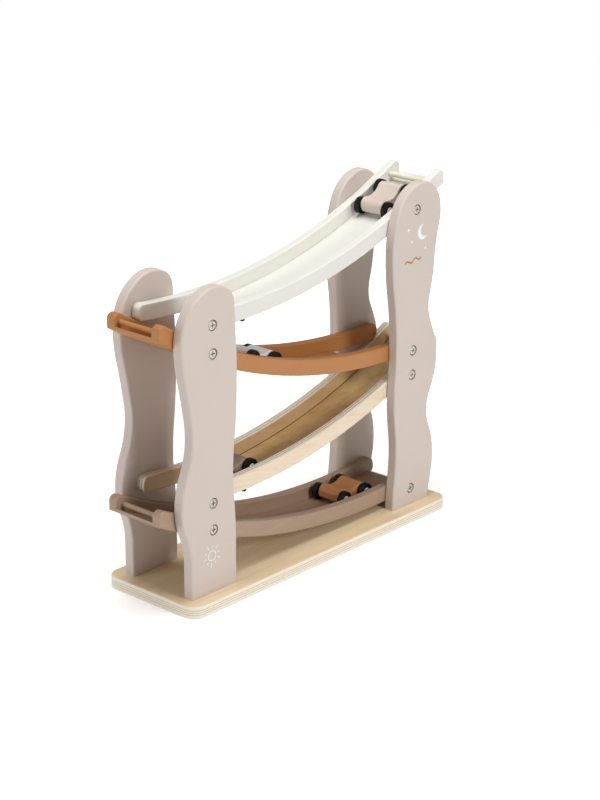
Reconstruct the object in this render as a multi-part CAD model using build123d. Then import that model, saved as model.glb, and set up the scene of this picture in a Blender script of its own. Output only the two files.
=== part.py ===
from build123d import *
import math
import os
from collections import namedtuple

# Lengths are in mm. X runs along the toy, Y across it and Z up. The origin is the
# middle of the base board's underside.

# Base board
BASE_LENGTH = 304.0
BASE_DEPTH = 98.0
BASE_THICK = 10.0
BASE_CORNER = 11.0
BASE_EASE = 1.0

# Uprights: a near and a far one at each end, cut to the same two outlines. An outline
# is a chain of tangent arcs: its first heading in degrees, then the arcs' end points.
UPRIGHT_INNER = 27.5
UPRIGHT_THICK = 9.5
UPRIGHT_EASE = 1.8
LEFT_HEADING = 86.36
LEFT_OUTLINE = [
    (-142.23, 33.95), (-146.79, 62.21), (-150.45, 92.04), (-144.87, 111.49),
    (-139.52, 150.08), (-146.07, 186.04), (-148.61, 214.99), (-124.37, 249.7),
    (-100.15, 248.15), (-92.31, 235.33), (-91.01, 208.19), (-90.87, 159.8),
    (-93.75, 126.58), (-94.7, 79.83), (-93.43, 37.18),
]
LEFT_FOOT = (-142.2, -93.4)
RIGHT_HEADING = 82.48
RIGHT_OUTLINE = [
    (93.5, 19.97), (96.43, 48.86), (95.2, 80.97), (94.16, 119.88),
    (95.53, 157.33), (91.97, 195.46), (89.33, 234.74), (96.43, 266.17),
    (122.0, 285.34), (147.8, 268.2), (147.74, 247.73), (142.4, 217.3),
    (137.39, 189.05), (138.95, 166.66), (143.51, 156.06), (144.7, 116.95),
    (139.8, 105.59), (138.89, 75.46), (144.65, 53.64), (142.9, 29.95),
]
RIGHT_FOOT = (93.3, 138.9)

# Tracks: two rails bent to one radius, with a thin floor let into rabbets under them
TRACK_RADIUS = 510.0
RAIL_HEIGHT = 13.4
RAIL_THICK = 8.0
RAIL_EASE = 1.2
RAIL_END_ROUND = 5.0
FLOOR_THICK = 2.4
FLOOR_SET_IN = 4.5
RAIL_INNER = UPRIGHT_INNER - RAIL_THICK
UNDER_RADIUS = TRACK_RADIUS + RAIL_HEIGHT
FLOOR_RADIUS = UNDER_RADIUS - FLOOR_THICK

# Each track's low point, its two ends, where its floor stops, its stop dowel, its car's
# place, and the X and Z of the screws through the left and the right uprights
Track = namedtuple(
    "Track", "low_x low_z start_x exit_x floor_end_x dowel_x car_x left_screw right_screw"
)
TRACKS = {
    "track1": Track(
        -81.75, 228.3, 163.5, -136.0, -82.5, 151.2, 120.4, (-116.1, 222.8), (117.9, 264.1)
    ),
    "track2": Track(
        114.75, 152.15, -162.3, 136.5, 76.0, -156.1, -38.2, (-116.2, 200.8), (116.1, 145.8)
    ),
    "track3": Track(
        -80.75, 90.75, 159.5, -135.3, -82.5, 149.9, -67.2, (-118.0, 82.6), (115.4, 124.9)
    ),
    "track4": Track(
        74.65, 29.3, -165.8, 133.5, 128.5, -157.8, 70.8, (-118.0, 60.9), (115.7, 24.5)
    ),
}

# Stop dowel across each track's start
DOWEL_RADIUS = 2.1
DOWEL_DROP = 6.0
DOWEL_DEPTH = 5.0

# Screws through the uprights into the rails, and up through the base
HEAD_RADIUS = 3.7
HEAD_HEIGHT = 1.9
HEAD_EASE = 0.8
COUNTERBORE_RADIUS = 4.5
COUNTERBORE_DEPTH = 2.2
SHANK_RADIUS = 1.8
UPRIGHT_SCREW_LENGTH = 13.0
BASE_SCREW_XS = (-130.0, -106.0, 104.0, 128.0)
BASE_SCREW_LENGTH = 26.0
RECESS_LENGTH = 4.2
RECESS_WIDTH = 1.0
RECESS_DEPTH = 1.5

# Small pan head screws that keep the ends of two floors in their rabbets
PAN_TRACKS = ("track1", "track3")
PAN_X = -73.0
PAN_RADIUS = 2.2
PAN_HEIGHT = 1.5
PAN_EASE = 0.8
PAN_SLOT_LENGTH = 2.2
PAN_SLOT_WIDTH = 0.6
PAN_SLOT_DEPTH = 0.7
PAN_SHANK_RADIUS = 0.9
PAN_SHANK_LENGTH = 8.0
PAN_CLEARANCE = 0.1
PAN_Y = RAIL_INNER + FLOOR_SET_IN + PAN_CLEARANCE + PAN_SHANK_RADIUS

# Cars
WHEEL_RADIUS = 7.0
WHEEL_CLEARANCE = 0.1
HALF_WHEELBASE = 13.0
CAR_HALF_WIDTH = 11.2
CAR_HALF_LENGTH = 17.0
CAR_UNDERSIDE = -3.6
CAR_CORNER = 2.0
CAR_EASE = 1.2
HUMP_RADIUS = 5.7
HUMP_TOP = 7.2
DIP_BOTTOM = 3.9
AXLE_RADIUS = 1.2
AXLE_CLEARANCE = 0.08
AXLE_HALF_LENGTH = 15.4
CAP_RADIUS = 3.2
CAP_RIM = 16.1
CAP_TOP = 17.0
CAP_SET_IN = 0.1
WHEEL_INNER = 11.8
WHEEL_OUTER = 16.3
TYRE_CHAMFER = 0.4
GROOVE_DEPTH = 0.4
GROOVE_SET_IN = 1.3
GROOVE_HALF_WIDTH = 0.35
GROOVE_HALF_FLOOR = 0.15
SIDE_GROOVE_OUTER = 5.4
SIDE_GROOVE_INNER = 4.3
SIDE_GROOVE_DEPTH = 0.3
AXLE_PATH_RADIUS = FLOOR_RADIUS - WHEEL_RADIUS - WHEEL_CLEARANCE


def slab(face, y_low, y_high):
    """A flat outline drawn in X and Z, given thickness along Y."""
    return Plane.XZ * Pos(0, 0, -y_high) * extrude(face, y_high - y_low)


def facing(shape, origin, outward):
    """A shape built along +Z, moved to origin and turned to point outward."""
    return Plane(origin=origin, z_dir=outward).location * shape


def rod(radius, length, origin, outward):
    """A plain cylinder that starts at origin."""
    cylinder = Cylinder(radius, length, align=(Align.CENTER, Align.CENTER, Align.MIN))
    return facing(cylinder, origin, outward)


def group(solids):
    """Separate solids kept in one node."""
    return Compound(children=list(solids))


# Screws


def cross_recess():
    """The cross-shaped socket of a screw head, centered on the head's top."""
    arm = Box(RECESS_LENGTH, RECESS_WIDTH, 2 * RECESS_DEPTH)
    return arm + Rot(0, 0, 90) * arm


def large_screw(length):
    """A screw whose head rises from Z 0 and whose shank points down."""
    head = Cylinder(HEAD_RADIUS, HEAD_HEIGHT, align=(Align.CENTER, Align.CENTER, Align.MIN))
    head = fillet(head.edges().group_by(Axis.Z)[-1], HEAD_EASE)
    shank = Cylinder(SHANK_RADIUS, length, align=(Align.CENTER, Align.CENTER, Align.MAX))
    return head + shank - Pos(0, 0, HEAD_HEIGHT) * cross_recess()


def large_screw_hole(length):
    """The counterbore and close-fitting hole of a large screw."""
    bore = Cylinder(
        COUNTERBORE_RADIUS, COUNTERBORE_DEPTH, align=(Align.CENTER, Align.CENTER, Align.MIN)
    )
    shank = Cylinder(SHANK_RADIUS, length, align=(Align.CENTER, Align.CENTER, Align.MAX))
    return bore + shank


def pan_screw():
    """A small pan head screw that points up, the head's bearing face at Z 0."""
    head = Pos(0, 0, -PAN_HEIGHT / 2) * Cylinder(PAN_RADIUS, PAN_HEIGHT)
    head = fillet(head.edges().group_by(Axis.Z)[0], PAN_EASE)
    slot = Pos(0, 0, -PAN_HEIGHT) * Box(PAN_SLOT_LENGTH, PAN_SLOT_WIDTH, 2 * PAN_SLOT_DEPTH)
    shank = Cylinder(
        PAN_SHANK_RADIUS, PAN_SHANK_LENGTH, align=(Align.CENTER, Align.CENTER, Align.MIN)
    )
    return head - slot - Rot(0, 0, 90) * slot + shank


# Tracks


def on_arc(track, radius, angle):
    """The X and Z of a point on the track's circle, angle 0 being its low point."""
    center_z = track.low_z + TRACK_RADIUS
    x = track.low_x + radius * math.sin(angle)
    return (x, center_z - radius * math.cos(angle))


def angle_at(track, radius, x):
    """The angle at which the track's circle of this radius passes X."""
    return math.asin((x - track.low_x) / radius)


def inward(angle):
    """The unit vector from a point of the arc towards its center."""
    return (-math.sin(angle), 0, math.cos(angle))


def band(track, inner_radius, outer_radius, end):
    """A strip between two radii, cut upright at the track's start and square at its end."""
    top_start = angle_at(track, inner_radius, track.start_x)
    under_start = angle_at(track, outer_radius, track.start_x)
    top_angles = (top_start, (top_start + end) / 2, end)
    under_angles = (end, (end + under_start) / 2, under_start)
    top = ThreePointArc(*[on_arc(track, inner_radius, a) for a in top_angles])
    under = ThreePointArc(*[on_arc(track, outer_radius, a) for a in under_angles])
    return make_face([top, Line(top @ 1, under @ 0), under, Line(under @ 1, top @ 0)])


def rail_blank(track, y_low):
    """One rail before drilling: three corners well rounded and every rim eased."""
    outline = band(track, TRACK_RADIUS, UNDER_RADIUS, angle_at(track, TRACK_RADIUS, track.exit_x))
    rail = slab(outline, y_low, y_low + RAIL_THICK)
    at_start, at_exit = [], []
    for corner in rail.edges().filter_by(Axis.Y).sort_by(Axis.Z):
        near_start = abs(corner.center().X - track.start_x) < 0.1
        (at_start if near_start else at_exit).append(corner)
    rail = fillet([at_start[1], *at_exit], RAIL_END_ROUND)
    rims = [e for face in rail.faces().filter_by(Axis.Y) for e in face.edges()]
    return fillet(rims, RAIL_EASE)


def floor_board(track):
    """The floor, its edges let into the rails."""
    end = angle_at(track, UNDER_RADIUS, track.floor_end_x)
    reach = RAIL_INNER + FLOOR_SET_IN
    return slab(band(track, FLOOR_RADIUS, UNDER_RADIUS, end), -reach, reach)


def dowel(track):
    """The stop dowel, let into both rails."""
    radius = TRACK_RADIUS + DOWEL_DROP
    x, z = on_arc(track, radius, angle_at(track, radius, track.dowel_x))
    reach = RAIL_INNER + DOWEL_DEPTH
    return rod(DOWEL_RADIUS, 2 * reach, (x, -reach, z), (0, 1, 0))


def rail_screw_centers(track):
    """Where the upright screws enter the rails, as end name, X and Z."""
    return [("left", *track.left_screw), ("right", *track.right_screw)]


def floor_screws(track):
    """The small screws beside the floor's end, one under each rail."""
    angle = angle_at(track, UNDER_RADIUS, PAN_X)
    x, z = on_arc(track, UNDER_RADIUS, angle)
    return [facing(pan_screw(), (x, side * PAN_Y, z), inward(angle)) for side in (-1, 1)]


def upright_seat(x, z, side):
    """Where an upright screw's head sits, on the near (-1) or far (1) side."""
    return (x, side * (UPRIGHT_INNER + UPRIGHT_THICK - COUNTERBORE_DEPTH), z)


def screw_hole(x, z, side):
    """The room of one upright screw."""
    return facing(large_screw_hole(UPRIGHT_SCREW_LENGTH), upright_seat(x, z, side), (0, side, 0))


def upright_screws():
    """Every screw through an upright into the end of a rail."""
    screws = []
    for track in TRACKS.values():
        for _, x, z in rail_screw_centers(track):
            for side in (-1, 1):
                screw = large_screw(UPRIGHT_SCREW_LENGTH)
                screws.append(facing(screw, upright_seat(x, z, side), (0, side, 0)))
    return screws


def track_parts(name, track):
    """One track's rails, floor and dowel, and the screws of two of them."""
    small_screws = floor_screws(track) if name in PAN_TRACKS else []
    stop, board = dowel(track), floor_board(track)
    parts = {f"{name}_floor": board, f"{name}_dowel": stop}
    for label, side in (("near", -1), ("far", 1)):
        y_low = min(side * RAIL_INNER, side * UPRIGHT_INNER)
        rail = rail_blank(track, y_low) - board - stop
        for _, x, z in rail_screw_centers(track):
            rail -= screw_hole(x, z, side)
        for screw in small_screws:
            rail -= screw
        parts[f"{name}_rail_{label}"] = rail
    if small_screws:
        parts[f"{name}_floor_screws"] = group(small_screws)
    return parts


# Base and uprights


def base_screw_places():
    """Each base screw's X and Y."""
    y = UPRIGHT_INNER + UPRIGHT_THICK / 2
    return [(x, side * y) for x in BASE_SCREW_XS for side in (-1, 1)]


def base_board():
    """The board everything stands on."""
    board = Box(
        BASE_LENGTH, BASE_DEPTH, BASE_THICK, align=(Align.CENTER, Align.CENTER, Align.MIN)
    )
    board = fillet(board.edges().filter_by(Axis.Z), BASE_CORNER)
    rims = board.faces().sort_by(Axis.Z)
    board = fillet(rims[0].edges() + rims[-1].edges(), BASE_EASE)
    for x, y in base_screw_places():
        board -= facing(large_screw_hole(BASE_SCREW_LENGTH), (x, y, COUNTERBORE_DEPTH), (0, 0, -1))
    return board


def base_screws():
    """The screws up through the base into the uprights."""
    return [
        facing(large_screw(BASE_SCREW_LENGTH), (x, y, COUNTERBORE_DEPTH), (0, 0, -1))
        for x, y in base_screw_places()
    ]


def upright_outline(end):
    """An upright's side view, a chain of tangent arcs on a straight foot."""
    heading, nodes, foot = {
        "left": (LEFT_HEADING, LEFT_OUTLINE, LEFT_FOOT),
        "right": (RIGHT_HEADING, RIGHT_OUTLINE, RIGHT_FOOT),
    }[end]
    tangent = Vector(math.cos(math.radians(heading)), math.sin(math.radians(heading)))
    sides = [Line((foot[0], BASE_THICK), nodes[0])]
    for start, stop in zip(nodes, nodes[1:]):
        sides.append(TangentArc(start, stop, tangent=tangent))
        tangent = sides[-1] % 1
    sides.append(Line(nodes[-1], (foot[1], BASE_THICK)))
    sides.append(Line((foot[1], BASE_THICK), (foot[0], BASE_THICK)))
    return make_face(sides)


def upright(end, side):
    """One upright, its screw holes cut on the outward side."""
    face = upright_outline(end)
    y_low = min(side * UPRIGHT_INNER, side * (UPRIGHT_INNER + UPRIGHT_THICK))
    board = slab(face, y_low, y_low + UPRIGHT_THICK)
    rims = [
        e
        for plane in board.faces().filter_by(Axis.Y)
        for e in plane.edges()
        if e.center().Z > BASE_THICK + UPRIGHT_EASE / 2
    ]
    board = fillet(rims, UPRIGHT_EASE)
    for track in TRACKS.values():
        for screw_end, x, z in rail_screw_centers(track):
            if screw_end == end:
                board -= screw_hole(x, z, side)
    for x, y in base_screw_places():
        board -= facing(large_screw_hole(BASE_SCREW_LENGTH), (x, y, COUNTERBORE_DEPTH), (0, 0, -1))
    return board


# Cars, drawn with the midpoint between the two axles at the origin


def car_outline():
    """The car's side view: two round humps, a tangent dip and a flat underside."""
    hump_x = CAR_HALF_LENGTH - HUMP_RADIUS
    hump_z = HUMP_TOP - HUMP_RADIUS
    rise = DIP_BOTTOM - hump_z
    dip = (hump_x**2 + rise**2 - HUMP_RADIUS**2) / (2 * (HUMP_RADIUS - rise))
    share = HUMP_RADIUS / (HUMP_RADIUS + dip)
    meet_x = hump_x * (1 - share)
    meet_z = hump_z + (DIP_BOTTOM + dip - hump_z) * share
    turn = HUMP_RADIUS * math.sqrt(0.5)
    humps = [
        ThreePointArc(
            (side * CAR_HALF_LENGTH, hump_z),
            (side * (hump_x + turn), hump_z + turn),
            (side * meet_x, meet_z),
        )
        for side in (-1, 1)
    ]
    valley = ThreePointArc((-meet_x, meet_z), (0, DIP_BOTTOM), (meet_x, meet_z))
    walls = Polyline(
        (CAR_HALF_LENGTH, hump_z),
        (CAR_HALF_LENGTH, CAR_UNDERSIDE),
        (-CAR_HALF_LENGTH, CAR_UNDERSIDE),
        (-CAR_HALF_LENGTH, hump_z),
    )
    return make_face([humps[0], valley, humps[1], walls])


def car_body():
    """A block with a hump over each axle and a dip between them."""
    block = slab(car_outline(), -CAR_HALF_WIDTH, CAR_HALF_WIDTH)
    corners = block.edges().filter_by(Axis.Y).group_by(Axis.Z)[0]
    block = fillet(corners, CAR_CORNER)
    rims = [e for face in block.faces().filter_by(Axis.Y) for e in face.edges()]
    block = fillet(rims, CAR_EASE)
    for x in (-HALF_WHEELBASE, HALF_WHEELBASE):
        block -= rod(
            AXLE_RADIUS + AXLE_CLEARANCE, 2 * CAR_HALF_WIDTH, (x, -CAR_HALF_WIDTH, 0), (0, 1, 0)
        )
    return block


def axle():
    """A plain pin along Y."""
    return rod(AXLE_RADIUS, 2 * AXLE_HALF_LENGTH, (0, -AXLE_HALF_LENGTH, 0), (0, 1, 0))


def pair(profile):
    """An outline of radius and Y turned about the Y axis, with its mirror image."""
    ring = revolve(make_face(profile), Axis.Y)
    return [ring, mirror(ring, Plane.XZ)]


def hubs():
    """The two wheel centers of one axle: domed caps pressed on its ends."""
    inner, dome = WHEEL_INNER + CAP_SET_IN, CAP_TOP - CAP_RIM
    ball = (CAP_RADIUS**2 + dome**2) / (2 * dome)
    half = CAP_RADIUS / 2
    middle = (half, CAP_TOP - ball + math.sqrt(ball**2 - half**2))
    edges = Polyline(
        (0, CAP_TOP),
        (0, AXLE_HALF_LENGTH),
        (AXLE_RADIUS, AXLE_HALF_LENGTH),
        (AXLE_RADIUS, inner),
        (CAP_RADIUS, inner),
        (CAP_RADIUS, CAP_RIM),
    )
    return pair([edges, ThreePointArc((CAP_RADIUS, CAP_RIM), middle, (0, CAP_TOP))])


def tyres():
    """The two grooved tyres of one axle."""
    inner, outer, tread = WHEEL_INNER, WHEEL_OUTER, WHEEL_RADIUS
    shoulder, floor = tread - TYRE_CHAMFER, tread - GROOVE_DEPTH
    profile = [(CAP_RADIUS, inner), (shoulder, inner), (tread, inner + TYRE_CHAMFER)]
    for y in (inner + GROOVE_SET_IN, outer - GROOVE_SET_IN):
        profile += [(tread, y - GROOVE_HALF_WIDTH), (floor, y - GROOVE_HALF_FLOOR)]
        profile += [(floor, y + GROOVE_HALF_FLOOR), (tread, y + GROOVE_HALF_WIDTH)]
    profile += [(tread, outer - TYRE_CHAMFER), (shoulder, outer)]
    side_floor = outer - SIDE_GROOVE_DEPTH
    profile += [(SIDE_GROOVE_OUTER, outer), (SIDE_GROOVE_OUTER - SIDE_GROOVE_DEPTH, side_floor)]
    profile += [(SIDE_GROOVE_INNER + SIDE_GROOVE_DEPTH, side_floor), (SIDE_GROOVE_INNER, outer)]
    profile += [(CAP_RADIUS, outer)]
    return pair(Polyline(*profile, close=True))


def car_parts(name, track):
    """One car's body and two wheel sets, standing on its track."""
    path = math.sqrt(AXLE_PATH_RADIUS**2 - HALF_WHEELBASE**2)
    angle = angle_at(track, path, track.car_x)
    x, z = on_arc(track, path, angle)
    along = (math.cos(angle), 0, math.sin(angle))
    stand = Plane(origin=(x, 0, z), x_dir=along, z_dir=inward(angle)).location
    parts = {f"{name}_body": stand * car_body()}
    for label, shift in (("left", -HALF_WHEELBASE), ("right", HALF_WHEELBASE)):
        seat = stand * Pos(shift, 0, 0)
        parts[f"{name}_axle_{label}"] = seat * axle()
        parts[f"{name}_hubs_{label}"] = group(seat * hub for hub in hubs())
        parts[f"{name}_tyres_{label}"] = group(seat * tyre for tyre in tyres())
    return parts


def all_parts():
    """Every piece of the toy by name."""
    parts = {"base_board": base_board()}
    for end in ("left", "right"):
        for label, side in (("near", -1), ("far", 1)):
            parts[f"upright_{label}_{end}"] = upright(end, side)
    for number, (name, track) in enumerate(TRACKS.items(), 1):
        parts.update(track_parts(name, track))
        parts.update(car_parts(f"car{number}", track))
    parts["upright_screws"] = group(upright_screws())
    parts["base_screws"] = group(base_screws())
    return parts


os.makedirs("parts", exist_ok=True)
for part_name, shape in all_parts().items():
    export_step(shape, f"parts/{part_name}.step")
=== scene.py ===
import math

import bmesh
import bpy
from mathutils import Matrix, Vector


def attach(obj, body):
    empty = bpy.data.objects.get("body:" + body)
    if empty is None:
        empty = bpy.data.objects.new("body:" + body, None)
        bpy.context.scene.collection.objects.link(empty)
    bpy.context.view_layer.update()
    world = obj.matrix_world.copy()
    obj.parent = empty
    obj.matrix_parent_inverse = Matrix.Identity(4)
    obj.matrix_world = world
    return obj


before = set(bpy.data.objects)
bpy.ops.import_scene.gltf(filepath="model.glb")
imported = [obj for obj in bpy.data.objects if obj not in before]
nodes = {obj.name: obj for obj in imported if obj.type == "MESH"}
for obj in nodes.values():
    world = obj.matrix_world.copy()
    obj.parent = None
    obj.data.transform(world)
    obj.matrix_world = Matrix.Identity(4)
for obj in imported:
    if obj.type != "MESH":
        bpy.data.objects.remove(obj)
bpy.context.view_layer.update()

# Lengths are in metres, angles in radians and colours in sRGB of 0 to 255, except where a comment
# says otherwise. Y is measured from the toy's middle plane and Z from the ground, as in the part.

# Boards of the part: inner face, thickness and count of plies; where glue lines show; and how
# far from the middle the natural floor's painted shadow along its joint with its rails begins.
UPRIGHT_INNER, UPRIGHT_THICK, UPRIGHT_PLIES = 0.0275, 0.0095, 7
RAIL_INNER, RAIL_THICK, RAIL_PLIES = 0.0195, 0.008, 3
RAIL_MIDDLE = RAIL_INNER + RAIL_THICK / 2
RAIL_GLUE_LINES = (0.0222, 0.0247)
BASE_GLUE_LINES = (0.0032, 0.0050, 0.0068)
FLOOR_JOINT_SHADOW = 0.0184

# Wheels: the cap's radius; then the radius at which the tread blocks begin, the distance over
# which they rise, and their count.
CAP_RADIUS = 0.0032
TREAD_START, TREAD_RISE, TREAD_BLOCKS = 0.0052, 0.0008, 30

# Turns that lay the grain along the toy, across it or upright; each track's tilt; and the slant
# of the natural floor's grain.
GRAIN_ALONG = (0, 0, 0)
GRAIN_ACROSS = (0, 0, math.pi / 2)
GRAIN_UP = (0, math.pi / 2, 0)
TRACK_TILTS = {"track1": -0.20, "track2": 0.26, "track3": -0.20, "track4": 0.18}
FLOOR_GRAIN_SLANT = 0.2

# Paints.
GREIGE = (213, 199, 189)
WHITE = (233, 231, 223)
CREAM = (236, 228, 208)
TERRACOTTA = (184, 124, 69)
MOCHA = (173, 147, 124)
BEECH = (226, 200, 160)
CAR_PAINTS = {
    "car1": (220, 204, 192),
    # The second car's white is raised to make up for the shade the track above casts on it: painted
    # light.
    "car2": (251, 251, 249),
    "car3": (172, 152, 138),
    "car4": (198, 134, 82),
}

# Painted tracks: rails and floor, dowel, and how strongly the grain shows through.
TRACK_PAINTS = {
    "track1": (WHITE, CREAM, 0.5),
    "track2": (TERRACOTTA, TERRACOTTA, 0.8),
    "track4": (MOCHA, MOCHA, 2.6),
}

# Plywood: the face, its dark grain, and the edge's light and dark plies.
BASE_PLYWOOD = ((245, 223, 187), (233, 208, 168), (250, 241, 224), (226, 207, 176))
RAIL_PLYWOOD = ((240, 222, 197), (230, 206, 173), (250, 241, 222), (84, 68, 52))
FLOOR_PLYWOOD = ((230, 202, 148), (210, 176, 120), (226, 205, 170), (150, 120, 84))
# Painted shade on the natural rails' inner halves, which lie in shade.
RAIL_INWARD_SHADE = (226, 210, 180)

# Metal and rubber.
ZINC, PIN_STEEL, BLACK_STEEL = (204, 198, 189), (190, 190, 188), (26, 26, 27)
# Caps: a warm painted reflection of the wood in the middle, darker at the bend, a painted highlight
# at the rim.
CAP_MIDDLE_REFLECTION, CAP_BEND, CAP_RIM_HIGHLIGHT = (214, 200, 176), (184, 168, 144), (255, 253, 248)
RUBBER_DARK, RUBBER_LIGHT = (9, 9, 10), (19, 19, 21)

# How often a pattern changes in a metre: along and across the fibres, by axis, or all round.
PAINT_GRAIN, PLYWOOD_GRAIN = (22.0, 300.0), (9.0, 95.0)
PORES, SWIRL, EDGE_FIBRE = (160, 1500, 1500), (34, 26, 26), (420, 420, 900)
LINE_WAVER = (22, 22, 22)
PAINT_CLOUD, PAINT_PEEL, INK_COVER = 24.0, 900.0, 420.0
METAL_MOTTLE, METAL_MARKS = 300.0, 1600.0
RUBBER_BLOOM, RUBBER_TEXTURE = 140.0, 2600.0

# Heights of the relief.
FINE_RELIEF, FIBRE_RELIEF = 0.0001, 0.0002
PAINT_RELIEF, PLYWOOD_RELIEF, TREAD_RELIEF = 0.0003, 0.0004, 0.0003

# Layer lines: half widths and how far they waver; and how soon the painted shadow along a floor's
# joint with its rails darkens.
PAINT_LINE, BASE_LINE, RAIL_LINE = 0.0006, 0.0006, 0.00032
PAINT_WAVER, PLYWOOD_WAVER = 0.0005, 0.0004
JOINT_SHADOW_FADE = 0.0005

# Prints on the near uprights' outer faces, lifted off them by a hair. The motifs' places, X and
# Z, and all their sizes are in millimetres; a star has its size as the third number.
MM_PER_METRE = 1000
PRINT_LIFT = 0.00006
PRINT_Y = -(UPRIGHT_INNER + UPRIGHT_THICK + PRINT_LIFT)
SUN = (-120.5, 40.5)
MOON = (125.5, 244.5)
STARS = [(107.5, 249.0, 2.3), (112.0, 238.5, 1.6), (129.0, 230.5, 1.8)]
WAVE = (104.0, 221.5)
INK_WHITE, INK_BROWN = (246, 246, 248), (178, 108, 66)

# Studio. Each lamp has its place, target, diameter and power in watts.
PURE_WHITE = (1, 1, 1, 1)
FLOOR_HALF, FLOOR_GREY = 1.4, 0.94
WORLD_STRENGTH = 0.21
LAMPS = {
    "top": ((0.0, 0.0, 1.5), (0, 0, 0.12), 1.0, 14.2),
    "front": ((0.0, -1.4, 0.7), (0, 0, 0.12), 0.5, 9.2),
    "left": ((-1.4, 0.6, 0.45), (0, 0, 0.12), 0.9, 6.0),
}

# The photograph's camera, as fitted: its heading, how far it stands from a base point along its
# own axes, and its lens.
CAMERA_AZIMUTH, CAMERA_ELEVATION = math.radians(47.689), math.radians(19.915)
CAMERA_BASE = (-0.002, 0.0015, 0.15)
CAMERA_RIGHT, CAMERA_DOWN, CAMERA_BACK = 0.015346, 0.023554, 1.700486
FOCAL_PIXELS, FRAME_PIXELS, SENSOR_MM = 2151.2, 800, 36.0
CLIP_NEAR, CLIP_FAR = 0.05, 20.0


# Node helpers


def linear(colour):
    """An sRGB colour of 0 to 255 as linear RGBA."""
    parts = [v / 255 for v in colour]
    return tuple(v / 12.92 if v <= 0.04045 else ((v + 0.055) / 1.055) ** 2.4 for v in parts) + (1.0,)


def scaled(colour, factor):
    """A linear colour made lighter or darker."""
    return tuple(min(1.0, c * factor) for c in colour[:3]) + (1.0,)


class Graph:
    """A material under construction. Its methods give back a node's output socket."""

    def __init__(self, name, rough=0.5, metallic=0.0, specular=0.5):
        self.material = bpy.data.materials.new(name)
        self.material.use_nodes = True
        self.tree = self.material.node_tree
        self.shader = self.tree.nodes["Principled BSDF"]
        self.shader.inputs["Roughness"].default_value = rough
        self.shader.inputs["Metallic"].default_value = metallic
        self.shader.inputs["Specular IOR Level"].default_value = specular

    def feed(self, socket, value):
        """Links another socket to this one, or sets its value."""
        if isinstance(value, bpy.types.NodeSocket):
            self.tree.links.new(value, socket)
        else:
            socket.default_value = value

    def add(self, kind, inputs=None, **settings):
        """A node, not its output, with its settings and inputs."""
        node = self.tree.nodes.new("ShaderNode" + kind)
        for key, value in settings.items():
            setattr(node, key, value)
        for key, value in (inputs or {}).items():
            self.feed(node.inputs[key], value)
        return node

    def place(self):
        """The surface point in the toy's own frame."""
        return self.add("TexCoord").outputs["Object"]

    def mapped(self, vector, scale=(1, 1, 1), rotation=(0, 0, 0), location=(0, 0, 0)):
        """A vector scaled, turned and moved."""
        inputs = {"Vector": vector, "Scale": scale, "Rotation": rotation, "Location": location}
        return self.add("Mapping", inputs).outputs["Vector"]

    def noise(self, vector, scale, detail=3.0, roughness=0.5, distortion=0.0):
        """Cloudy noise about 0.5."""
        inputs = {
            "Vector": vector, "Scale": scale, "Detail": detail,
            "Roughness": roughness, "Distortion": distortion,
        }
        return self.add("TexNoise", inputs).outputs["Fac"]

    def math(self, operation, a, b=0.0, c=0.0, clamp=False):
        """One operation on numbers or sockets."""
        node = self.add("Math", {0: a, 1: b, 2: c}, operation=operation, use_clamp=clamp)
        return node.outputs[0]

    def ramp(self, factor, stops):
        """A colour ramp; each stop is a position and a colour or a grey."""
        node = self.add("ValToRGB", {"Fac": factor})
        elements = node.color_ramp.elements
        while len(elements) < len(stops):
            elements.new(0.5)
        for element, (position, colour) in zip(elements, stops):
            element.position = position
            element.color = colour if isinstance(colour, tuple) else (colour,) * 3 + (1.0,)
        return node.outputs["Color"]

    def mask(self, factor, low, high, share):
        """From 0 below low to the given share above high."""
        return self.math("MULTIPLY", self.ramp(factor, [(low, 0.0), (high, 1.0)]), share)

    def mix(self, a, b, factor, blend="MIX"):
        """Colour a with b over it by a factor."""
        node = self.add("Mix", data_type="RGBA", blend_type=blend, clamp_factor=True)
        for socket, value in ((node.inputs[0], factor), (node.inputs[6], a), (node.inputs[7], b)):
            self.feed(socket, value)
        return node.outputs[2]

    def bump(self, height, strength, distance, normal=None):
        """Relief from a height, on top of another normal if one is given."""
        inputs = {"Height": height, "Strength": strength, "Distance": distance}
        if normal:
            inputs["Normal"] = normal
        return self.add("Bump", inputs).outputs["Normal"]

    def split(self, vector):
        """The three outputs of a vector, by axis name."""
        return self.add("SeparateXYZ", {"Vector": vector}).outputs

    def normal_axis(self, axis):
        """How far the surface faces along an axis, 0 to 1."""
        normal = self.split(self.add("NewGeometry").outputs["Normal"])
        return self.math("ABSOLUTE", normal[axis])

    def finish(self, colour, rough, normal):
        """The material, with its three varying inputs linked."""
        for key, value in (("Base Color", colour), ("Roughness", rough), ("Normal", normal)):
            self.tree.links.new(value, self.shader.inputs[key])
        return self.material


def grain(graph, vector, pattern, rotation, seed):
    """Long wood fibres: stretched noise, coarse and fine. The grain runs along local X."""
    along, across = pattern
    moved = graph.mapped(vector, (1, 1, 1), rotation, (seed, seed * 0.7, seed * 1.3))
    coarse = graph.noise(graph.mapped(moved, (along, across, across)), 1.0, 4.0, 0.6, 0.6)
    fine = graph.noise(graph.mapped(moved, (along * 2.5, across * 6, across * 6)), 1.0, 2.0, 0.5)
    return coarse, fine


def from_middle(graph, place, axis):
    """The distance from the toy's origin along an axis, without its sign."""
    return graph.math("ABSOLUTE", graph.split(place)[axis])


def waved(graph, place, axis, amount):
    """The distance from the toy's origin along an axis, with a slow waver."""
    wave = graph.noise(graph.mapped(place, LINE_WAVER), 1.0, 2.0)
    waver = graph.math("MULTIPLY", graph.math("SUBTRACT", wave, 0.5), amount)
    return graph.math("ADD", from_middle(graph, place, axis), waver)


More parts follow.
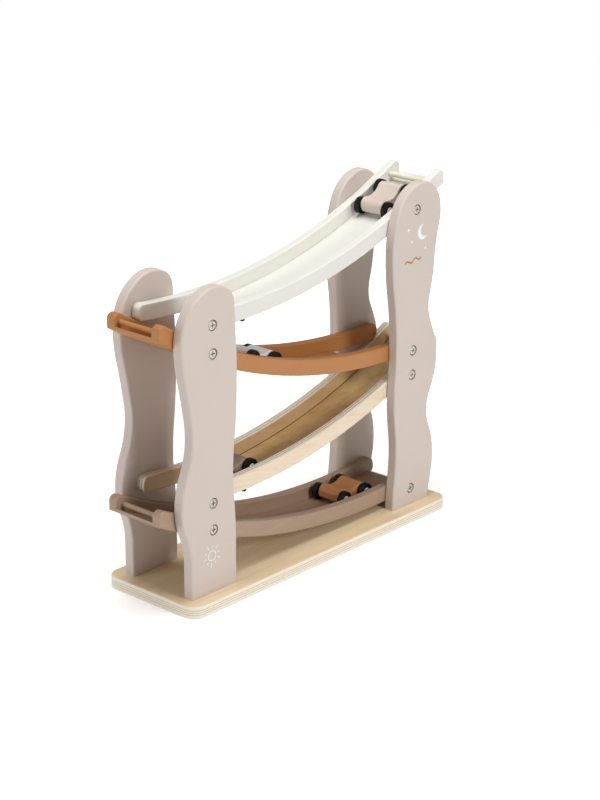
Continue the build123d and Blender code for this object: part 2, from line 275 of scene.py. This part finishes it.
def lines_at(graph, coordinate, places, half_width):
    """Thin lines: 1 where the coordinate meets one of the places, 0 beyond the half width."""
    total = 0.0
    for place in places:
        gap = graph.math("ABSOLUTE", graph.math("SUBTRACT", coordinate, place))
        line = graph.math("SUBTRACT", 1.0, graph.math("DIVIDE", gap, half_width), clamp=True)
        total = graph.math("MAXIMUM", total, line)
    return total


def ply_middles(inner, thickness, count):
    """Where the middle of each ply of a standing board lies."""
    return [inner + thickness * (k + 0.5) / count for k in range(count)]


# Materials


def painted(name, colour, rotation=GRAIN_ALONG, streak=1.0, rough=0.5, plies=(), seed=0.0):
    """Matt paint or stain over plywood; the grain shows through by streak, in colour and relief."""
    g = Graph(name, rough)
    place = g.place()
    coarse, fine = grain(g, place, PAINT_GRAIN, rotation, seed)
    body = linear(colour)
    worn, fresh = scaled(body, 1 - 0.035 * streak), scaled(body, 1 + 0.012 * streak)
    tone = g.ramp(coarse, [(0.32, worn), (0.7, fresh)])
    tone = g.mix(tone, scaled(body, 0.90), g.mask(fine, 0.55, 0.8, min(0.9, 0.3 * streak)))
    cloud = g.noise(place, PAINT_CLOUD, 2.0)
    tone = g.mix(tone, scaled(body, 0.965), g.mask(cloud, 0.45, 0.75, 0.6))
    height = g.math("ADD", g.math("MULTIPLY", fine, 0.6), coarse)
    normal = g.bump(height, 0.06 * streak, PAINT_RELIEF)
    if plies:
        edge = g.ramp(g.normal_axis("Y"), [(0.35, 1.0), (0.75, 0.0)])
        line = lines_at(g, waved(g, place, "Y", PAINT_WAVER), plies, PAINT_LINE)
        line = g.math("MULTIPLY", g.math("MULTIPLY", line, edge), 0.14 + 0.1 * streak)
        tone = g.mix(tone, scaled(body, 0.72), line)
    normal = g.bump(g.noise(place, PAINT_PEEL, 1.0), 0.05, FINE_RELIEF, normal)
    roughness = g.ramp(coarse, [(0.3, rough - 0.05), (0.8, rough + 0.08)])
    return g.finish(tone, roughness, normal)


def plywood(
    name, tones, axis, lines=(), half_width=BASE_LINE, rotation=GRAIN_ALONG, seed=0.0, figure=0.0,
    joint_shadow=None, inward_shade=None,
):
    """Clear-lacquered birch plywood: grain on the two faces, layer lines on every edge.

    The axis runs through the layers. Figure is the strength of the cloudy grain. Beyond the joint
    shadow's distance from the toy's middle plane, the face takes a painted shadow along its joint
    with the rails. A painted shade darkens the half of a rail that is next to that plane, where its
    inner face lies in shade.
    """
    g = Graph(name, 0.45)
    place = g.place()
    coarse, fine = grain(g, place, PLYWOOD_GRAIN, rotation, seed)
    face, dark, edge_light, edge_dark = (linear(colour) for colour in tones)
    tone = g.ramp(coarse, [(0.30, dark), (0.52, face), (0.8, scaled(face, 1.05))])
    tone = g.mix(tone, scaled(dark, 0.92), g.mask(fine, 0.5, 0.78, 0.35))
    pores = g.noise(g.mapped(place, PORES, rotation), 1.0, 1.0)
    tone = g.mix(tone, scaled(dark, 0.8), g.mask(pores, 0.62, 0.78, 0.2))
    if figure:
        swirl = g.noise(g.mapped(place, SWIRL, rotation), 1.0, 4.0, 0.6, 1.4)
        tone = g.mix(tone, scaled(dark, 0.80), g.mask(swirl, 0.42, 0.72, figure))
    sideways = from_middle(g, place, "Y")
    # Painted shade: the rail's inner half is darkened and warmed, as its inner face lies in shade.
    if inward_shade:
        tone = g.mix(tone, linear(inward_shade), g.math("LESS_THAN", sideways, RAIL_MIDDLE), "MULTIPLY")
    # Painted shadow: a dark strip along the floor's joint with the rails, where their contact shadow
    # falls.
    if joint_shadow:
        shade = g.math("DIVIDE", g.math("SUBTRACT", sideways, joint_shadow), JOINT_SHADOW_FADE, clamp=True)
        tone = g.mix(tone, scaled(dark, 0.22), shade)
    line = lines_at(g, waved(g, place, axis, PLYWOOD_WAVER), lines, half_width)
    fibre = g.noise(g.mapped(place, EDGE_FIBRE), 1.0, 2.0)
    light = g.ramp(fibre, [(0.3, scaled(edge_light, 0.94)), (0.7, edge_light)])
    deep = g.ramp(fibre, [(0.3, scaled(edge_dark, 0.85)), (0.7, edge_dark)])
    side = g.mix(light, deep, g.ramp(line, [(0.2, 0.0), (0.7, 1.0)]))
    edge = g.ramp(g.normal_axis(axis), [(0.55, 1.0), (0.80, 0.0)])
    colour = g.mix(tone, side, edge)
    height = g.math("SUBTRACT", g.math("MULTIPLY", coarse, 0.5), g.math("MULTIPLY", line, edge))
    normal = g.bump(fine, 0.06, FIBRE_RELIEF, g.bump(height, 0.15, PLYWOOD_RELIEF))
    roughness = g.ramp(coarse, [(0.3, 0.50), (0.8, 0.40)])
    return g.finish(colour, roughness, normal)


def turned(graph, place, tone, smooth, coarse, scratch):
    """The finished metal: fine turning marks, with the roughness between the two given."""
    marks = graph.noise(place, METAL_MARKS, 2.0)
    roughness = graph.ramp(marks, [(0.3, smooth), (0.7, coarse)])
    return graph.finish(tone, roughness, graph.bump(marks, scratch, FINE_RELIEF))


def metal(name, colour, rough, scratch=0.1, metallic=1.0):
    """Plated steel."""
    g = Graph(name, rough, metallic)
    place = g.place()
    body = linear(colour)
    mottle = g.noise(place, METAL_MOTTLE, 2.0)
    tone = g.ramp(mottle, [(0.3, scaled(body, 0.86)), (0.7, body)])
    return turned(g, place, tone, rough * 0.8, rough * 1.25, scratch)


def polar(graph, place, centre):
    """The turn and the distance round a wheel's centre, given as X and Z."""
    axes = graph.split(place)
    along = graph.math("SUBTRACT", axes["X"], centre[0])
    up = graph.math("SUBTRACT", axes["Z"], centre[1])
    squares = graph.math("ADD", graph.math("MULTIPLY", along, along), graph.math("MULTIPLY", up, up))
    return graph.math("ARCTAN2", up, along), graph.math("SQRT", squares)


def rubber(name, centre):
    """Black tyre rubber with small tread blocks round the rim."""
    g = Graph(name, 0.36, specular=0.32)
    place = g.place()
    bloom = g.noise(place, RUBBER_BLOOM, 3.0)
    tone = g.ramp(bloom, [(0.3, linear(RUBBER_DARK)), (0.75, linear(RUBBER_LIGHT))])
    turn, reach = polar(g, place, centre)
    rim = g.math("DIVIDE", g.math("SUBTRACT", reach, TREAD_START), TREAD_RISE, clamp=True)
    beat = g.math("SINE", g.math("MULTIPLY", turn, TREAD_BLOCKS))
    beat = g.math("MULTIPLY_ADD", beat, 0.5, 0.5)
    blocks = g.math("MULTIPLY", g.ramp(beat, [(0.25, 0.0), (0.6, 1.0)]), rim)
    normal = g.bump(blocks, 0.35, TREAD_RELIEF)
    normal = g.bump(g.noise(place, RUBBER_TEXTURE, 2.0), 0.08, FINE_RELIEF, normal)
    return g.finish(tone, g.ramp(bloom, [(0.3, 0.28), (0.8, 0.42)]), normal)


def cap_steel(name, centre):
    """A domed steel cap in painted light: a warm painted reflection of the wood in its middle, darker
    at the bend, and a painted highlight round its rim.
    """
    g = Graph(name, 0.28, 0.35)
    place = g.place()
    _, reach = polar(g, place, centre)
    share = g.math("DIVIDE", reach, CAP_RADIUS)
    # Painted light: a reflection in the middle and a highlight round the rim.
    stops = [(0.0, linear(CAP_MIDDLE_REFLECTION)), (0.6, linear(CAP_BEND)), (0.74, linear(CAP_RIM_HIGHLIGHT))]
    return turned(g, place, g.ramp(share, stops), 0.22, 0.34, 0.03)


def ink(name, colour):
    """Printed ink, slightly uneven."""
    g = Graph(name, 0.5)
    cover = g.noise(g.place(), INK_COVER, 2.0)
    body = linear(colour)
    tone = g.ramp(cover, [(0.3, scaled(body, 0.95)), (0.7, body)])
    g.feed(g.shader.inputs["Base Color"], tone)
    g.feed(g.shader.inputs["Roughness"], g.ramp(cover, [(0.3, 0.45), (0.8, 0.58)]))
    return g.material


# The part's own nodes


def dress(material, *names):
    """Gives CAD nodes a material."""
    for name in names:
        nodes[name].data.materials.clear()
        nodes[name].data.materials.append(material)


def middle(name):
    """The X and Z of a CAD node's middle."""
    corners = [Vector(corner) for corner in nodes[name].bound_box]
    centre = sum(corners, Vector()) / len(corners)
    return centre.x, centre.z


def dress_uprights():
    """Smooth greige paint."""
    plies = ply_middles(UPRIGHT_INNER, UPRIGHT_THICK, UPRIGHT_PLIES)
    for seed, end in enumerate(("near_left", "far_left", "near_right", "far_right"), 1):
        paint = painted(f"upright_paint_{end}", GREIGE, GRAIN_UP, 0.25, 0.55, plies, seed)
        dress(paint, f"upright_{end}")


def dress_painted_track(name, seed, colour, dowel_colour, streak):
    """One colour on the rails and the floor, with its own for the dowel; each has its own seed."""
    slope = (0, TRACK_TILTS[name], 0)
    plies = ply_middles(RAIL_INNER, RAIL_THICK, RAIL_PLIES)
    rail = painted(f"{name}_paint", colour, slope, streak, plies=plies, seed=seed)
    floor = painted(f"{name}_floor_paint", colour, slope, streak * 1.3, seed=seed + 5)
    dowel = painted(f"{name}_dowel_paint", dowel_colour, GRAIN_ACROSS, streak, seed=seed + 9)
    dress(rail, f"{name}_rail_near", f"{name}_rail_far")
    dress(floor, f"{name}_floor")
    dress(dowel, f"{name}_dowel")


def dress_natural_track(name):
    """Clear plywood rails and floor with a beech dowel."""
    tilt = TRACK_TILTS[name]
    # The rails carry painted shade on their inner halves, and the floor a painted shadow along its
    # joints with them.
    rail = plywood(
        "rail_plywood", RAIL_PLYWOOD, "Y", RAIL_GLUE_LINES, RAIL_LINE,
        rotation=(0, tilt, 0), seed=3.0, figure=0.15, inward_shade=RAIL_INWARD_SHADE,
    )
    floor = plywood(
        "floor_plywood", FLOOR_PLYWOOD, "Z",
        rotation=(0, tilt, FLOOR_GRAIN_SLANT), seed=6.0, figure=0.22, joint_shadow=FLOOR_JOINT_SHADOW,
    )
    dress(rail, f"{name}_rail_near", f"{name}_rail_far")
    dress(floor, f"{name}_floor")
    dress(painted("beech_dowel", BEECH, GRAIN_ACROSS, 1.2), f"{name}_dowel")


def dress_cars():
    """Painted bodies on black tyres with steel caps."""
    pin = metal("pin_steel", PIN_STEEL, 0.3)
    for seed, (car, colour) in enumerate(CAR_PAINTS.items(), 21):
        dress(painted(f"{car}_paint", colour, GRAIN_ALONG, 0.4, 0.42, seed=seed), f"{car}_body")
        for end in ("left", "right"):
            tyres, hubs = f"{car}_tyres_{end}", f"{car}_hubs_{end}"
            dress(rubber(f"{tyres}_rubber", middle(tyres)), tyres)
            dress(cap_steel(f"{hubs}_steel", middle(hubs)), hubs)
            dress(pin, f"{car}_axle_{end}")


def dress_all():
    """Every CAD node's material."""
    dress(plywood("base_plywood", BASE_PLYWOOD, "Z", BASE_GLUE_LINES), "base_board")
    dress_uprights()
    for number, name in enumerate(TRACK_TILTS, 1):
        if name in TRACK_PAINTS:
            dress_painted_track(name, number, *TRACK_PAINTS[name])
        else:
            dress_natural_track(name)
    dress_cars()
    dress(metal("screw_zinc", ZINC, 0.4, 0.08, 0.6), "upright_screws", "base_screws")
    dress(metal("screw_black", BLACK_STEEL, 0.4), "track1_floor_screws", "track3_floor_screws")


# Prints, each a list of flat shapes with corners in X and Z


def ring_points(centre, radius, start, stop, steps):
    """Points along a circle between two angles."""
    angles = [start + (stop - start) * k / steps for k in range(steps + 1)]
    return [(centre[0] + radius * math.cos(a), centre[1] + radius * math.sin(a)) for a in angles]


def stroke(points, width):
    """A drawn line as a chain of quads."""
    quads = []
    for (xa, za), (xb, zb) in zip(points, points[1:]):
        length = math.hypot(xb - xa, zb - za)
        sx, sz = -(zb - za) / length * width / 2, (xb - xa) / length * width / 2
        quads.append([(xa + sx, za + sz), (xa - sx, za - sz), (xb - sx, zb - sz), (xb + sx, zb + sz)])
    return quads


def sun(x, z):
    """A ring with rays of two lengths."""
    ring, line, rays, lean, steps = 4.0, 0.8, 10, 0.2, 48
    ray_start, short_end, long_end = 6.2, 8.2, 9.6
    shapes = stroke(ring_points((x, z), ring, 0, 2 * math.pi, steps), line)
    for k in range(rays):
        turn = 2 * math.pi * k / rays + lean
        ends = (ray_start, long_end if k % 2 else short_end)
        shapes += stroke([(x + r * math.cos(turn), z + r * math.sin(turn)) for r in ends], line)
    return shapes


def moon(x, z):
    """A filled crescent: one circle less another one set off to its side."""
    outer, inner, offset, heading, steps = 6.4, 5.3, 3.0, 0.45, 32
    a = math.acos((outer**2 + offset**2 - inner**2) / (2 * outer * offset))
    b = math.acos((offset**2 + inner**2 - outer**2) / (2 * offset * inner))
    hollow = (x + offset * math.cos(heading), z + offset * math.sin(heading))
    back = ring_points((x, z), outer, heading + a, heading + 2 * math.pi - a, steps)
    front = ring_points(hollow, inner, heading + math.pi - b, heading + math.pi + b, steps)
    return [[back[k], back[k + 1], front[k + 1], front[k]] for k in range(steps)]


def star(x, z, size):
    """A four-pointed star."""
    waist, corners = 0.38, 8
    reaches = [size * waist if k % 2 else size for k in range(corners)]
    turns = [math.pi * (2 * k / corners + 0.5) for k in range(corners)]
    return [[(x + r * math.cos(t), z + r * math.sin(t)) for r, t in zip(reaches, turns)]]


def wave(x, z):
    """A short wavy line."""
    length, height, rise, line, waves, steps = 20, 1.3, 2.5, 1.1, 2, 40
    points = []
    for k in range(steps + 1):
        share = k / steps
        swing = height * math.sin(2 * math.pi * waves * share)
        points.append((x + length * share, z + swing + rise * share))
    return stroke(points, line)


def printed(name, shapes, material):
    """A flat print that faces the near side and moves with the stand."""
    mesh = bpy.data.meshes.new(name)
    sheet = bmesh.new()
    for shape in shapes:
        corners = [(x / MM_PER_METRE, PRINT_Y, z / MM_PER_METRE) for x, z in shape]
        face = sheet.faces.new([sheet.verts.new(corner) for corner in corners])
        face.normal_update()
        if face.normal.y > 0:
            face.normal_flip()
    sheet.to_mesh(mesh)
    sheet.free()
    mesh.materials.append(material)
    piece = bpy.data.objects.new(name, mesh)
    bpy.context.scene.collection.objects.link(piece)
    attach(piece, "stand")


def prints():
    """Generic motifs on the near uprights."""
    white, brown = ink("ink_white", INK_WHITE), ink("ink_brown", INK_BROWN)
    printed("print_sun", sun(*SUN), white)
    sky = moon(*MOON)
    for place in STARS:
        sky += star(*place)
    printed("print_sky", sky, white)
    printed("print_wave", wave(*WAVE), brown)


# Studio


def emitting_for_camera(graph, share):
    """To the camera, mirrors and glass, the surface glows white by share on top of its own light."""
    path = graph.add("LightPath").outputs
    mirrored = graph.math("MAXIMUM", path["Is Glossy Ray"], path["Is Transmission Ray"])
    seen = graph.math("MAXIMUM", path["Is Camera Ray"], mirrored)
    strength = graph.math("MULTIPLY", seen, share)
    glow = graph.add("Emission", {"Strength": strength, "Color": PURE_WHITE})
    both = graph.add("AddShader", {0: graph.shader.outputs[0], 1: glow.outputs[0]})
    output = next(n for n in graph.tree.nodes if n.type == "OUTPUT_MATERIAL")
    graph.tree.links.new(both.outputs[0], output.inputs["Surface"])


def pale_floor():
    """A floor that turns white away from the toy and keeps its shadow near it."""
    g = Graph("floor_pale", 0.9, specular=0.1)
    g.shader.inputs["Base Color"].default_value = (FLOOR_GREY, FLOOR_GREY, FLOOR_GREY, 1)
    radius = g.add("VectorMath", {0: g.place()}, operation="LENGTH").outputs["Value"]
    away = g.ramp(g.math("MULTIPLY", radius, 0.7), [(0.2, 0.3), (0.5, 1.0)])
    emitting_for_camera(g, away)
    mesh = bpy.data.meshes.new("floor")
    corners = [(-1, -1), (1, -1), (1, 1), (-1, 1)]
    mesh.from_pydata([(x * FLOOR_HALF, y * FLOOR_HALF, 0) for x, y in corners], [], [(0, 1, 2, 3)])
    mesh.materials.append(g.material)
    floor = bpy.data.objects.new("floor", mesh)
    bpy.context.scene.collection.objects.link(floor)


def white_world():
    """A dim white world that the camera sees at full white."""
    world = bpy.data.worlds.new("studio")
    bpy.context.scene.world = world
    world.use_nodes = True
    tree = world.node_tree
    background = tree.nodes["Background"]
    background.inputs["Color"].default_value = PURE_WHITE
    background.inputs["Strength"].default_value = WORLD_STRENGTH
    path = tree.nodes.new("ShaderNodeLightPath")
    seen = tree.nodes.new("ShaderNodeBackground")
    seen.inputs["Color"].default_value = PURE_WHITE
    mix = tree.nodes.new("ShaderNodeMixShader")
    tree.links.new(path.outputs["Is Camera Ray"], mix.inputs[0])
    tree.links.new(background.outputs[0], mix.inputs[1])
    tree.links.new(seen.outputs[0], mix.inputs[2])
    output = next(n for n in tree.nodes if n.type == "OUTPUT_WORLD")
    tree.links.new(mix.outputs[0], output.inputs["Surface"])


def soft_lamps():
    """The round lamps, each turned to its target."""
    for name, (spot, target, size, watts) in LAMPS.items():
        data = bpy.data.lights.new(name, "AREA")
        data.shape, data.size, data.energy = "DISK", size, watts
        lamp = bpy.data.objects.new(name, data)
        lamp.location = spot
        lamp.rotation_mode = "QUATERNION"
        lamp.rotation_quaternion = (Vector(target) - Vector(spot)).to_track_quat("-Z", "Y")
        bpy.context.scene.collection.objects.link(lamp)


def photo_camera():
    """The camera, where the photograph was taken from."""
    level = math.cos(CAMERA_ELEVATION)
    back = Vector((
        -math.sin(CAMERA_AZIMUTH) * level,
        -math.cos(CAMERA_AZIMUTH) * level,
        math.sin(CAMERA_ELEVATION),
    ))
    right = Vector((math.cos(CAMERA_AZIMUTH), -math.sin(CAMERA_AZIMUTH), 0))
    up = back.cross(right)
    camera = bpy.data.cameras.new("camera")
    camera.sensor_width, camera.lens = SENSOR_MM, FOCAL_PIXELS / FRAME_PIXELS * SENSOR_MM
    camera.clip_start, camera.clip_end = CLIP_NEAR, CLIP_FAR
    eye = bpy.data.objects.new("camera", camera)
    spot = Vector(CAMERA_BASE) + right * CAMERA_RIGHT - up * CAMERA_DOWN + back * CAMERA_BACK
    turn = Matrix((right, up, back)).transposed().to_4x4()
    eye.matrix_world = Matrix.Translation(spot) @ turn
    bpy.context.scene.collection.objects.link(eye)
    bpy.context.scene.camera = eye


dress_all()
prints()
pale_floor()
white_world()
soft_lamps()
photo_camera()
bpy.context.scene.view_settings.view_transform = "Standard"
